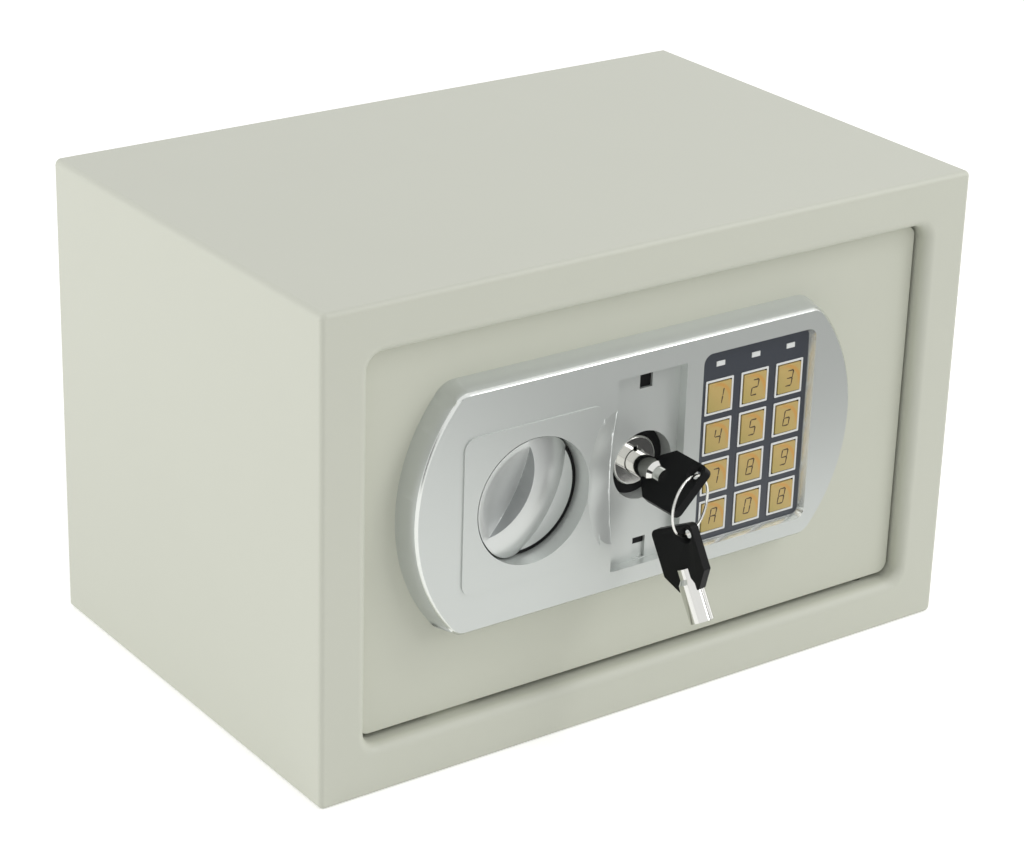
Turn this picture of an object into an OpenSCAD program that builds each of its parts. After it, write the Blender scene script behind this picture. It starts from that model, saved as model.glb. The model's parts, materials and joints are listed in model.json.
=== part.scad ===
/* [Body] */
// Outer width of the body
body_w = 310; // [290:5:380]
// Outer depth of the body, without the control panel
body_d = 200; // [180:5:320]
// Outer height of the body
body_h = 200; // [195:5:260]
// Sheet thickness of the wrap, the back and the frame's flange
sheet_t = 1.5; // [1:0.1:2]
// Outer radius of the body's folded edges
edge_r = 2.5; // [2.5:0.5:5]
// Plate thickness of the front frame
frame_t = 2; // [1.8:0.1:2.3]
// Width of the frame's side borders
side_border = 20.5; // [18:0.5:24]
// Height of the frame's top and bottom borders
end_border = 20; // [18:0.5:22]
// Corner radius of the door opening
opening_r = 6.5; // [5:0.5:9]
// Radius of the rolled edge around the opening
roll_r = 4; // [3:0.5:5]
// Depth of the frame's flange behind the front face
flange_d = 18; // [17:0.5:20]
// Thickness of the felt floor mat
mat_t = 2; // [1:0.5:4]

/* [Anchor holes] */
// Diameter of the floor and back anchor holes
anchor_d = 10; // [6:0.5:12]
// Distance between the two floor holes
floor_anchor_gap = 150; // [80:5:180]
// Distance between the two back holes
back_anchor_gap = 160; // [80:5:180]
// Diameter of the mat's clearance over an anchor hole
mat_hole_d = 16; // [13:1:20]

/* [Door] */
// Thickness of the door plate
door_t = 3; // [2.5:0.5:4]
// Depth of the door plate's face behind the front face
door_recess = 7; // [6:0.5:8]
// Corner radius of the door plate
door_r = 4.5; // [3:0.5:6]
// Gap between the door and the opening on the lock side
gap_lock = 1; // [0.8:0.1:2]
// Gap between the door and the opening on the hinge side
gap_hinge = 1.5; // [1.3:0.1:2.5]
// Gap above the door
gap_top = 1.5; // [1:0.1:2.5]
// Gap below the door
gap_bottom = 2.5; // [1:0.1:3]

/* [Hinge] */
// Diameter of the hinge pins
pin_d = 5; // [4:0.5:6]
// Distance of the hinge axis from the door's edge
hinge_inset = 13; // [12:0.5:14]
// Height of a knuckle
knuckle_h = 18; // [12:1:24]
// Height of a bracket behind the flange
bracket_h = 6; // [5:0.5:8]

/* [Fascia] */
// Width of the fascia's front face
fascia_w = 209; // [203:1:216]
// Height of the fascia's front face
fascia_h = 97; // [94:1:102]
// Depth of the fascia in front of the door plate
fascia_d = 11; // [10.5:0.5:13]
// Draft of the fascia's sides, from the door to the front
fascia_draft = 2; // [0.5:0.5:3]
// Bevel around the fascia's front face
fascia_bevel = 1; // [0.5:0.1:1.5]
// Radius of the fascia's curved ends
fascia_end_r = 71; // [66:1:90]
// Corner radius of the fascia
fascia_corner_r = 7; // [4:0.5:10]
// Wall thickness of the fascia
fascia_wall = 2.5; // [1.5:0.1:3]
// Distance of the fascia's centre left of the body's centre
fascia_left = 11; // [8:0.5:12]
// Height of the fascia's centre above the body's centre
fascia_up = 8.8; // [4:0.2:12]
// Width of the raised square around the knob
plateau_w = 64.6; // [60:0.2:70]
// Height of the raised square
plateau_t = 0.6; // [0.3:0.1:1]

/* [Knob] */
// Distance of the knob's axis left of the fascia's centre
knob_left = 52.4; // [50:0.2:54]
// Diameter of the knob
knob_d = 51.2; // [48:0.2:54]
// Gap between the knob and its well
knob_gap = 0.4; // [0.3:0.1:0.8]
// Depth of the knob's flat face below the fascia's front
knob_sink = 8; // [6:0.5:9]
// Diameter of the knob's shaft
shaft_d = 8; // [6:0.5:9]
// Lean of the grip's wall from the vertical
grip_lean = 28; // [15:1:45]
// Radius of the grip's crest, seen from the front
crest_r = 23.6; // [22:0.1:26]
// Slope of the grip's wall, as the lean of its foot from its crest
wall_draft = 2.3; // [0.5:0.1:3]
// Depth of the finger scoop beside the grip
dish_t = 7.4; // [6:0.1:7.8]

/* [Lock] */
// Distance of the lock's axis right of the fascia's centre
lock_right = 2.8; // [0:0.2:6]
// Width of the lock cover's recess
recess_w = 33.5; // [30:0.5:36]
// Height of the lock cover's recess
recess_h = 81; // [70:1:84]
// Depth of the lock cover's recess
recess_t = 4.3; // [3:0.1:5]
// Width of the two clip slots
slot_w = 6.1; // [4:0.1:8]
// Height of the two clip slots
slot_h = 8; // [6:0.5:10]
// Height of the light ledge below the lower clip slot
ledge_h = 6; // [4:0.5:7]
// Diameter of the well around the lock
lock_well_d = 28.4; // [26:0.2:30]
// Diameter of the lock's barrel
barrel_d = 19; // [18:0.5:20]
// Diameter of the lock's front flange
lock_flange_d = 20.5; // [20:0.5:22]
// Outer diameter of the tubular key
key_tube_d = 9.6; // [9:0.1:10]
// Inner diameter of the tubular key
key_tube_bore = 7.2; // [7:0.1:7.6]
// Depth of the key in the lock
key_depth = 8; // [6:0.5:10]

/* [Key] */
// Width of a key's bow
bow_w = 22.5; // [20:0.5:24]
// Length of a bow from its shoulder to its far edge
bow_l = 26; // [25:0.5:29]
// Length of a bow's sloping shoulders
shoulder_l = 7; // [5:0.5:9]
// Thickness of a bow
bow_t = 4; // [3.5:0.5:5]
// Corner radius of a bow's far corners
bow_r = 2.6; // [1:0.2:4]
// Distance from the lock's flange to the bow
key_gap = 10.3; // [9:0.1:12]
// Length of the spare key's tube outside its bow
spare_tube_l = 12.5; // [10:0.5:16]
// Diameter of the key ring along its wire's middle
ring_d = 24; // [23.6:0.1:27]
// Wire diameter of the key ring
wire_d = 1.1; // [1:0.1:1.4]

/* [Keypad] */
// Distance of the keypad's centre right of the fascia's centre
pad_right = 56.2; // [54:0.2:58]
// Width of the keypad panel in its window
pad_w = 54.7; // [53:0.1:57]
// Height of the keypad panel in its window
pad_h = 80.6; // [78:0.2:82]
// Depth of the panel below the fascia's front
pad_sink = 3; // [2:0.5:4]
// Spread of the window's bevel on each side
pad_bevel = 1.2; // [0.5:0.1:1.4]
// Thickness of the keypad panel
pad_t = 1.5; // [1:0.1:2]
// Distance between the key columns
column_pitch = 17.8; // [17:0.1:18]
// Distance between the key rows
row_pitch = 17.2; // [16.8:0.1:17.5]
// Distance of the keys' centre below the panel's centre
rows_down = 4.5; // [3:0.5:5]
// Width of a key
key_w = 11.3; // [10:0.1:12]
// Height of a key
key_h = 12.1; // [10:0.1:12.5]
// Gap around a key
key_slit = 0.4; // [0.3:0.1:0.6]
// Height of a key above the panel
key_rise = 0.7; // [0.5:0.1:1.2]
// Border of the raised white frame around a key
key_border = 0.9; // [0.6:0.1:1.1]

/* [Bolts] */
// Diameter of the two locking bolts
bolt_d = 14; // [12:0.5:16]
// Distance between the two bolts
bolt_gap = 70; // [64:1:80]
// Travel of the bolts
bolt_travel = 16; // [12:0.5:18]
// Thickness of the sliding bolt plate
plate_t = 2; // [1.5:0.5:2.5]
// Depth of the inner door cover
cover_d = 32; // [31:0.5:36]
// Sheet thickness of the inner door cover
cover_t = 1.2; // [1:0.1:1.5]

/* [Hidden] */
$fn = 64;

// Depths are measured towards the viewer from the body's middle
front_f = body_d / 2;
flange_f = front_f - flange_d;
door_f = front_f - door_recess;
door_back_f = door_f - door_t;
fascia_f = door_f + fascia_d;
fit_gap = 0.3;
run_gap = 0.05;

// Opening and door edges
opening_w = body_w - 2 * side_border;
opening_h = body_h - 2 * end_border;
opening_left = -opening_w / 2;
opening_right = opening_w / 2;
door_left = opening_left + gap_lock;
door_right = opening_right - gap_hinge;
door_low = end_border + gap_bottom;
door_high = body_h - end_border - gap_top;
door_w = door_right - door_left;
door_h = door_high - door_low;
door_x = (door_left + door_right) / 2;
door_z = (door_low + door_high) / 2;

// Hinge axis
hinge_x = door_right - hinge_inset;
hinge_f = door_back_f - pin_d / 2;

// Fascia centre and what lies on it
fascia_x = -fascia_left;
fascia_z = body_h / 2 + fascia_up;
control_z = fascia_z - 0.8;
knob_x = fascia_x - knob_left;
lock_x = fascia_x + lock_right;
pad_x = fascia_x + pad_right;
pad_z = fascia_z - 0.5;
base_w = fascia_w + 2 * fascia_draft + 2 * fascia_bevel;
base_h = fascia_h + 2 * fascia_draft + 2 * fascia_bevel;
base_end_r = fascia_end_r + fascia_draft + fascia_bevel;
base_corner_r = fascia_corner_r + fascia_draft + fascia_bevel;
fascia_post_x = 88;
fascia_post_z = 38;
post_r = 4.5;
fascia_screw_r = 1.6;

// Finger scoop at the lock cover's recess, from its width, height and depth
scoop_half_w = 12;
scoop_half_h = 28;
scoop_t = 3;
scoop_r = (scoop_half_w * scoop_half_w + scoop_t * scoop_t) / (2 * scoop_t);
scoop_arc = (scoop_half_h * scoop_half_h + scoop_t * scoop_t) / (2 * scoop_t);
scoop_back = 9.5;

// Knob
knob_r = knob_d / 2;
well_r = knob_r + knob_gap;
disc_f = fascia_f - knob_sink;
knob_back_f = door_f + fit_gap;
rim_f = fascia_f + plateau_t;
crest_f = disc_f + knob_sink - 0.4;
wall_rise = rim_f - disc_f;
dish_r = 44;
ease_lean = 15;
ease_r = (knob_r - 0.1) / sin(ease_lean);
crest_u = -(crest_r + 2.3);
slope_u = -30;
slope_flat_r = 27;
slope_foot_r = 46.8;
slope_rise = crest_f - disc_f;
slope_run = slope_foot_r - slope_flat_r;
slope_r = (slope_run * slope_run + slope_rise * slope_rise) / (2 * slope_rise);

// Lock, key and override
lock_front_f = door_f + 2;
barrel_back_f = door_f - 23;
keyway_d = key_tube_d + 0.4;
keyway_f = lock_front_f - key_depth - fit_gap;
rotor_d = 12;
lock_post_d = key_tube_bore - 0.6;
nut_t = 4;
bow_f = lock_front_f + key_gap;
hole_u = bow_w / 2 - 4.4;
hole_v = bow_l - 4.2;
hole_neck_d = 3.2;
hole_flare = 41;
key_lean = 45;
cam_r = 4.5;
cam_lean = 45;
cam_pin_d = 3;
tail_t = 1.7;
lift_travel = 2 * cam_r * sin(cam_lean);
lift_f = barrel_back_f - tail_t - fit_gap;
lift_t = 1.5;
ring_r = ring_d / 2;
ring_yaw = 17.7;
ring_lean = 17.2;
spare_yaw = -81;
spare_lean = 27;
collar_l = 3;
collar_cone_l = 2;

// The first ring hole, the ring's centre and the second ring hole, as x, y, z
ring_hole = [lock_x + hole_u * sin(key_lean), -(bow_f + hole_v), control_z + hole_u * cos(key_lean)];
ring_mid = ring_hole - ring_r * [sin(ring_lean) * cos(ring_yaw), sin(ring_lean) * sin(ring_yaw), cos(ring_lean)];
spare_hole = ring_mid - [0, 0, ring_r];

// Bolt work
crank_r = bolt_travel / (2 * sin(45));
crank_pin_d = 5;
crank_pin_x = knob_x + crank_r * sin(45);
crank_pin_z = control_z + crank_r * cos(45);
crank_swing = 0.5;
crank_f = door_back_f - 5.7;
plate_f = crank_f - fit_gap - plate_t;
plate_left = knob_x - 28.6;
plate_right = knob_x + 23.4;
plate_over = 1;
bolt_f = plate_f - 0.5 - bolt_d / 2;
bolt_end = opening_left + 4.5;
bolt_low_z = control_z - 8 - bolt_gap / 2;
bolt_tab_x = knob_x - 17.6;
bolt_tab_h = 16;
guide_x = knob_x - 49.6;
screw_x = knob_x - 20.6;
slide_low_z = control_z - 24;
slide_high_z = control_z + 10;
shoulder_d = 6;
arm_low_z = control_z - 28;
arm_h = 8;
block_top_z = control_z - 9;

// Solenoid
plunger_x = lock_x - 19.8;
plunger_f = plate_f - 6;
plunger_d = 6;
plunger_low_z = block_top_z + 1.4;
coil_low_z = control_z + 15;
coil_h = 31;
coil_d = 18;
arm_t = 1.5;
lift_tab_z = control_z + 2;
block_right = plunger_x + plunger_d / 2 + 0.6 + 8.8;

// Inner cover
cover_f = door_back_f - cover_d;
cover_left = door_left + 7.5;
cover_right = hinge_x - 10;
cover_low = door_low + 7.5;
cover_high = door_high - 8.5;
cover_r = 3;
lug_x = [lock_x - 32, lock_x + 68];
lug_w = 12;
lug_h = 6;

// Electronics
pad_f = fascia_f - pad_sink;
pad_lip = 0.8;
pad_back_f = pad_f - pad_t;
key_foot_t = 0.7;
key_foot_over = 0.9;
board_t = 1.6;
board_f = pad_back_f - fit_gap - key_foot_t - 0.8 - board_t;
key_names = ["key_1", "key_2", "key_3", "key_4", "key_5", "key_6", "key_7", "key_8", "key_9",
    "key_a", "key_0", "key_b"];
lens_w = 4.2;
lens_h = 2.1;
lens_down = 5.2;
ribbon_w = 12;
ribbon_t = 0.6;
ribbon_z = control_z + 4;
control_board_f = door_back_f - 7.6;
control_low_z = control_z + 1;
control_high_z = cover_high - 6;
control_left = pad_x - 25;
control_right = cover_right - 10;
chip_x = control_left + 36;
chip_z = control_low_z + 20;
cell_d = 14.5;
cell_l = 50.5;
cell_pitch = 15;
cell_x = cover_right - 54.8;
cell_low_z = cover_low + 14;
box_t = 1.5;
cell_f = cover_f + cover_t + box_t + cell_d / 2 + 0.6;
hatch_w = 56;
hatch_h = 64;
hatch_z = cell_low_z + 1.5 * cell_pitch;
reset_x = cover_right - 16;
reset_z = control_z + 30;
reset_d = 6;

steel = [0.78, 0.79, 0.74];
silver = [0.72, 0.74, 0.73];
nickel = [0.8, 0.8, 0.78];
zinc = [0.7, 0.69, 0.62];
black = [0.1, 0.1, 0.11];
gold = [0.78, 0.66, 0.4];

// ---- helpers ----

// Turns a drawing in x, z and depth towards the viewer into the body's own axes
module facing() {
    rotate([90, 0, 0]) children();
}

module round_rect(w, h, r) {
    square([w - 2 * r, h], center = true);
    square([w, h - 2 * r], center = true);
    for (sx = [-1, 1], sz = [-1, 1]) translate([sx * (w / 2 - r), sz * (h / 2 - r)]) circle(r);
}

// A flat plate between two depths, centred on x and z
module plate(x, z, w, h, r, f0, f1) {
    translate([x, z, f0]) linear_extrude(f1 - f0) round_rect(w, h, r);
}

// A box given by its edges, in x, z and depth
module slab(x0, x1, z0, z1, f0, f1) {
    translate([x0, z0, f0]) cube([x1 - x0, z1 - z0, f1 - f0]);
}

// A round pin or hole along the depth
module pin(x, z, r, f0, f1) {
    translate([x, z, f0]) cylinder(h = f1 - f0, r = r);
}

// A profile of distance outwards and depth, led round a rounded rectangle
module lead_round(w, h, r) {
    for (i = [0 : 3]) {
        side = i % 2 == 0 ? [w, h] : [h, w];
        rotate([0, 0, 90 * i]) {
            translate([side[0] / 2, side[1] / 2 - r, 0]) rotate([90, 0, 0])
                linear_extrude(side[1] - 2 * r) children();
            translate([side[0] / 2 - r, side[1] / 2 - r, 0]) rotate_extrude(angle = 90)
                translate([r, 0]) children();
        }
    }
}

// A rounded rectangle that widens by grow on each side from f0 to f1
module flared_rect(w, h, r, grow, f0, f1) {
    t = f1 - f0;
    rotate([90, 0, 90]) linear_extrude(w - 2 * r, center = true)
        polygon([[-h / 2, f0], [h / 2, f0], [h / 2 + grow, f1], [-h / 2 - grow, f1]]);
    rotate([90, 0, 0]) linear_extrude(h - 2 * r, center = true)
        polygon([[-w / 2, f0], [w / 2, f0], [w / 2 + grow, f1], [-w / 2 - grow, f1]]);
    for (sx = [-1, 1], sz = [-1, 1]) translate([sx * (w / 2 - r), sz * (h / 2 - r), f0])
        cylinder(h = t, r1 = r, r2 = r + grow);
}

// ---- body ----

module body_wrap() color(steel) difference() {
    facing() {
        difference() {
            plate(0, body_h / 2, body_w, body_h, edge_r, -body_d / 2, front_f - frame_t);
            plate(0, body_h / 2, body_w - 2 * sheet_t, body_h - 2 * sheet_t, edge_r - sheet_t,
                -body_d, front_f);
        }
    }
    for (s = [-1, 1]) translate([s * floor_anchor_gap / 2, 0, -1]) cylinder(h = sheet_t + 2, d = anchor_d);
}

module front_frame() color(steel) difference() {
    facing() translate([0, body_h / 2, 0]) {
        inner_w = opening_w + 2 * roll_r;
        inner_h = opening_h + 2 * roll_r;
        // plate between the folded outer edge and the roll
        difference() {
            plate(0, 0, body_w - 2 * frame_t, body_h - 2 * frame_t, edge_r - frame_t, front_f - frame_t, front_f);
            plate(0, 0, inner_w, inner_h, opening_r + roll_r, front_f - 2 * frame_t, front_f + 1);
        }
        // folded outer edge
        lead_round(body_w, body_h, edge_r) translate([-frame_t, front_f - frame_t]) intersection() {
            circle(frame_t);
            square(frame_t);
        }
        // rolled edge and flange
        lead_round(opening_w, opening_h, opening_r) {
            difference() {
                translate([roll_r, front_f - roll_r]) intersection() {
                    circle(roll_r);
                    translate([-roll_r, 0]) square(roll_r);
                }
                translate([roll_r, front_f - roll_r]) circle(roll_r - sheet_t);
            }
            translate([0, flange_f]) square([sheet_t, front_f - roll_r - flange_f]);
        }
    }
    for (z = [end_border - 2 * sheet_t, body_h - end_border - sheet_t])
        translate([hinge_x, -hinge_f, z]) cylinder(h = 3 * sheet_t, d = pin_d + 1);
}

module back_panel() color(steel) difference() {
    facing() plate(0, body_h / 2, body_w - 2 * sheet_t, body_h - 2 * sheet_t, edge_r - sheet_t,
        -body_d / 2, -body_d / 2 + sheet_t);
    facing() for (s = [-1, 1]) pin(s * back_anchor_gap / 2, body_h / 2, anchor_d / 2,
        -body_d / 2 - 1, -body_d / 2 + sheet_t + 1);
}

module floor_mat() color([0.2, 0.2, 0.22]) difference() {
    side = body_w / 2 - sheet_t - 2;
    translate([-side, -flange_f + 3, sheet_t])
        cube([2 * side, body_d / 2 + flange_f - sheet_t - 5, mat_t]);
    for (s = [-1, 1]) translate([s * floor_anchor_gap / 2, 0, 0])
        cylinder(h = sheet_t + mat_t + 1, d = mat_hole_d);
}

// Two tabs on the flange that the closed door comes to rest against
module door_stops() color(steel) facing() {
    stop_f = door_back_f - fit_gap;
    stop_in = 34;
    stop_x = opening_left + stop_in;
    stop_w = 20;
    stop_h = 6;
    slab(stop_x, stop_x + stop_w, body_h - end_border - stop_h, body_h - end_border, stop_f - 1.7, stop_f);
    slab(stop_x, stop_x + stop_w, end_border, end_border + stop_h, stop_f - 1.7, stop_f);
}

module hinge_brackets() color(zinc) difference() {
    for (z = [end_border - sheet_t - bracket_h, body_h - end_border + sheet_t])
        translate([hinge_x - 10, -hinge_f - 6, z]) cube([20, 12, bracket_h]);
    translate([hinge_x, -hinge_f, -1]) cylinder(h = body_h + 2, d = pin_d + 2 * run_gap);
}

// ---- door ----

module door_plate() color([0.74, 0.745, 0.69]) facing() difference() {
    plate(door_x, door_z, door_w, door_h, door_r, door_back_f, door_f);
    pin(knob_x, control_z, shaft_d / 2 + run_gap, door_back_f - 1, door_f + 1);
    pin(lock_x, control_z, barrel_d / 2, door_back_f - 1, door_f + 1);
    for (s = [-1, 1], t = [-1, 1])
        pin(fascia_x + s * fascia_post_x, fascia_z + t * fascia_post_z, fascia_screw_r + 0.2,
            door_back_f - 1, door_f + 1);
    for (z = [slide_low_z, slide_high_z]) pin(screw_x, z, 2, door_back_f - 1, door_f + 1);
    for (x = lug_x, z = [cover_low - lug_h / 2, cover_high + lug_h / 2])
        pin(x, z, 1.5, door_back_f - 1, door_f - 0.5);
    slab(pad_x - ribbon_w / 2 - 1, pad_x + ribbon_w / 2 + 1, ribbon_z - 2, ribbon_z + 2,
        door_back_f - 1, door_f + 1);
}

module hinge_knuckles() color(zinc) difference() {
    for (z = [door_low + 0.5, door_high - 0.5 - knuckle_h]) translate([hinge_x, 0, z])
        linear_extrude(knuckle_h) intersection() {
            union() {
                translate([0, -hinge_f]) circle(pin_d / 2 + 1.5);
                translate([-8, -door_back_f]) square([16, pin_d / 2 + 1]);
            }
            translate([-10, -door_back_f]) square([20, 20]);
        }
    translate([hinge_x, -hinge_f, 0]) cylinder(h = body_h, d = pin_d);
    // the saddle is open where the pin lies against the plate
    translate([hinge_x - 0.3 * pin_d, -hinge_f - 0.8 * pin_d, 0]) cube([0.6 * pin_d, 0.5 * pin_d, body_h]);
}

module hinge_pins() color(nickel) {
    end_gap = 0.5;
    inner_l = knuckle_h + 0.5 + gap_top + sheet_t + bracket_h - end_gap;
    low_l = inner_l - gap_top + gap_bottom;
    translate([hinge_x, -hinge_f, end_border - sheet_t - bracket_h + end_gap])
        cylinder(h = low_l, d = pin_d);
    translate([hinge_x, -hinge_f, body_h - end_border + sheet_t + bracket_h - end_gap - inner_l])
        cylinder(h = inner_l, d = pin_d);
}

module inner_cover() color([0.74, 0.745, 0.69]) facing() difference() {
    w = cover_right - cover_left;
    h = cover_high - cover_low;
    x = (cover_left + cover_right) / 2;
    z = (cover_low + cover_high) / 2;
    union() {
        plate(x, z, w, h, cover_r, cover_f, door_back_f);
        for (lx = lug_x, lz = [cover_low - lug_h, cover_high - 1])
            slab(lx - lug_w / 2, lx + lug_w / 2, lz, lz + lug_h + 1, door_back_f - cover_t, door_back_f);
    }
    plate(x, z, w - 2 * cover_t, h - 2 * cover_t, cover_r - cover_t, cover_f + cover_t, door_back_f + 1);
    for (i = [0, 1]) translate([cover_left - 1, bolt_low_z + i * bolt_gap, bolt_f]) rotate([0, 90, 0])
        cylinder(h = cover_t + 2, d = bolt_d + 1);
    slab(cell_x - hatch_w / 2, cell_x + hatch_w / 2, hatch_z - hatch_h / 2, hatch_z + hatch_h / 2,
        cover_f - 1, cover_f + cover_t + 1);
    pin(reset_x, reset_z, reset_d / 2 + fit_gap, cover_f - 1, cover_f + cover_t + 1);
    for (lx = lug_x, lz = [cover_low - lug_h / 2, cover_high + lug_h / 2])
        pin(lx, lz, 1.5, door_back_f - cover_t - 1, door_back_f + 1);
}

// A domed screw whose shank points towards the viewer
module screw(x, z, shank_r, head_r, head_f, tip_f) {
    pin(x, z, shank_r, head_f, tip_f);
    difference() {
        translate([x, z, head_f]) intersection() {
            sphere(head_r);
            translate([-head_r, -head_r, -0.55 * head_r]) cube([2 * head_r, 2 * head_r, 0.55 * head_r]);
        }
        slab(x - head_r, x + head_r, z - 0.4, z + 0.4, head_f - head_r, head_f - 0.4 * head_r);
    }
}

module cover_screws() color(zinc) facing()
    for (x = lug_x, z = [cover_low - lug_h / 2, cover_high + lug_h / 2])
        screw(x, z, 1.5, 3, door_back_f - cover_t, door_f - 0.5);

// ---- fascia ----

// The fascia's outline, drawn in by in0 at depth f0 and by in1 at depth f1
module fascia_form(in0, in1, f0, f1) {
    arc_x = base_w / 2 - base_end_r;
    corner_z = base_h / 2 - base_corner_r;
    corner_x = arc_x + sqrt(pow(base_end_r - base_corner_r, 2) - corner_z * corner_z);
    half = base_h / 2;
    reach = 2 * base_end_r;
    slant = atan2(corner_z, corner_x - arc_x);
    rotate([90, 0, 90]) linear_extrude(2 * corner_x, center = true)
        polygon([[-half + in0, f0], [half - in0, f0], [half - in1, f1], [-half + in1, f1]]);
    for (s = [-1, 1]) {
        for (t = [-1, 1]) translate([s * corner_x, t * corner_z, f0])
            cylinder(h = f1 - f0, r1 = base_corner_r - in0, r2 = base_corner_r - in1);
        intersection() {
            translate([s * arc_x, 0, f0]) cylinder(h = f1 - f0, r1 = base_end_r - in0, r2 = base_end_r - in1, $fn = 180);
            translate([s * arc_x, 0, f0]) linear_extrude(f1 - f0)
                polygon([[0, 0], [s * reach * cos(slant), reach * sin(slant)],
                    [s * reach * cos(slant), -reach * sin(slant)]]);
        }
    }
}

// Walls that stand inside the hollow fascia
module fascia_walls() {
    recess_back = fascia_f - recess_t - fascia_wall;
    pad_wall = pad_lip + fascia_wall;
    pin(knob_x, control_z, well_r + fascia_wall, door_f, fascia_f);
    slab(lock_x - recess_w / 2 - scoop_back, lock_x + recess_w / 2 + fascia_wall,
        control_z - recess_h / 2 - fascia_wall, control_z + recess_h / 2 + fascia_wall, recess_back, fascia_f);
    pin(lock_x, control_z, lock_well_d / 2 + fascia_wall, door_f, fascia_f);
    plate(pad_x, pad_z, pad_w + 2 * pad_wall, pad_h + 2 * pad_wall, 4, door_f, fascia_f);
    for (s = [-1, 1], t = [-1, 1])
        pin(fascia_x + s * fascia_post_x, fascia_z + t * fascia_post_z, post_r, door_f, fascia_f);
    // ribs between the knob's well and the left end
    for (t = [-1, 1]) slab(fascia_x - base_w / 2 + 4, knob_x, control_z + t * 14 - 1, control_z + t * 14 + 1,
        door_f + 2, fascia_f);
}

module fascia() color(silver) facing() difference() {
    bevel_f = fascia_f - fascia_bevel;
    union() {
        difference() {
            translate([fascia_x, fascia_z, 0]) {
                fascia_form(0, fascia_draft, door_f, bevel_f);
                fascia_form(fascia_draft, fascia_draft + fascia_bevel, bevel_f, fascia_f);
            }
            difference() {
                translate([fascia_x, fascia_z, 0])
                    fascia_form(fascia_wall, fascia_wall + fascia_draft, door_f - 1, fascia_f - fascia_wall);
                intersection() {
                    fascia_walls();
                    translate([fascia_x, fascia_z, 0])
                        fascia_form(fascia_wall / 2, fascia_wall / 2 + fascia_draft, door_f - 2, fascia_f);
                }
            }
        }
        plate(knob_x, control_z, plateau_w, plateau_w, 5, fascia_f - 1, rim_f);
    }
    // knob well
    pin(knob_x, control_z, well_r, door_f - 1, rim_f + 1);
    // lock cover recess, its clip slots and the lock's well
    plate(lock_x, control_z, recess_w, recess_h, 0.8, fascia_f - recess_t, fascia_f + 2);
    slot_z = control_z + recess_h / 2 - slot_h;
    slab(lock_x - slot_w / 2, lock_x + slot_w / 2, slot_z, slot_z + slot_h - 0.4,
        fascia_f - recess_t - fascia_wall - 1, fascia_f);
    ledge_z = control_z - recess_h / 2 + 0.4;
    slab(lock_x - slot_w / 2, lock_x + slot_w / 2, ledge_z + ledge_h, ledge_z + ledge_h + 3.2,
        fascia_f - recess_t - fascia_wall - 1, fascia_f);
    slab(lock_x - slot_w / 2, lock_x + slot_w / 2, ledge_z, ledge_z + ledge_h + 1,
        fascia_f - recess_t - 1.2, fascia_f);
    pin(lock_x, control_z, lock_well_d / 2, door_f - 1, fascia_f);
    // shallow finger scoop across the recess's left edge
    translate([lock_x - recess_w / 2, control_z, fascia_f + scoop_r - scoop_t]) rotate([90, 0, 0])
        rotate_extrude() intersection() {
            translate([scoop_r - scoop_arc, 0]) circle(scoop_arc, $fn = 180);
            translate([0, -recess_h / 2]) square([scoop_r, recess_h]);
        }
    // keypad window with sloping sides, and the panel's seat behind it
    translate([pad_x, pad_z, 0]) flared_rect(pad_w, pad_h, 3, pad_bevel + 0.4, pad_f, fascia_f + 1);
    plate(pad_x, pad_z, pad_w + 2 * pad_lip, pad_h + 2 * pad_lip, 3.5, door_f - 1, pad_f);
    // screw holes in the posts
    for (s = [-1, 1], t = [-1, 1])
        pin(fascia_x + s * fascia_post_x, fascia_z + t * fascia_post_z, fascia_screw_r,
            door_f - 1, fascia_f - fascia_wall);
}

module fascia_screws() color(zinc) facing() for (s = [-1, 1], t = [-1, 1])
    screw(fascia_x + s * fascia_post_x, fascia_z + t * fascia_post_z, fascia_screw_r, 3.5,
        door_back_f, door_f + fascia_d / 2);

// ---- keypad ----

function key_x(i) = pad_x + (i % 3 - 1) * column_pitch;
function key_z(i) = pad_z - rows_down + (1.5 - floor(i / 3)) * row_pitch;

module keypad_panel() color([0.24, 0.26, 0.29]) facing() {
    difference() {
        plate(pad_x, pad_z, pad_w + 2 * pad_lip, pad_h + 2 * pad_lip, 3.5, pad_back_f, pad_f);
        for (i = [0 : 11]) slab(key_x(i) - key_w / 2 - key_slit, key_x(i) + key_w / 2 + key_slit,
            key_z(i) - key_h / 2 - key_slit, key_z(i) + key_h / 2 + key_slit, pad_back_f - 1, pad_f + 1);
        for (i = [0 : 2]) slab(key_x(i) - lens_w / 2, key_x(i) + lens_w / 2,
            pad_z + pad_h / 2 - lens_down - lens_h / 2, pad_z + pad_h / 2 - lens_down + lens_h / 2,
            pad_back_f - 1, pad_f + 1);
    }
    for (s = [-1, 1], t = [-1, 1]) pin(pad_x + s * (pad_w / 2 - 1.4), pad_z + t * (pad_h / 2 - 2), 1.1,
        board_f + board_t, pad_back_f);
}

// Raised white frames round the keys
module key_frames() color([0.88, 0.89, 0.88]) facing() for (i = [0 : 11]) {
    w = key_w + 2 * key_slit;
    h = key_h + 2 * key_slit;
    difference() {
        plate(key_x(i), key_z(i), w + 2 * key_border, h + 2 * key_border, 0.4, pad_f, pad_f + 0.35);
        slab(key_x(i) - w / 2, key_x(i) + w / 2, key_z(i) - h / 2, key_z(i) + h / 2, pad_f - 1, pad_f + 1);
    }
}

module keypad_board() color([0.1, 0.32, 0.2]) facing() difference() {
    plate(pad_x, pad_z, pad_w - 0.4, pad_h - 1, 2, board_f, board_f + board_t);
    for (z = [-1, 1]) pin(pad_x, pad_z + z * (pad_h / 2 - 3), 1.2, board_f - 1, board_f + board_t + 1);
}

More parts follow.
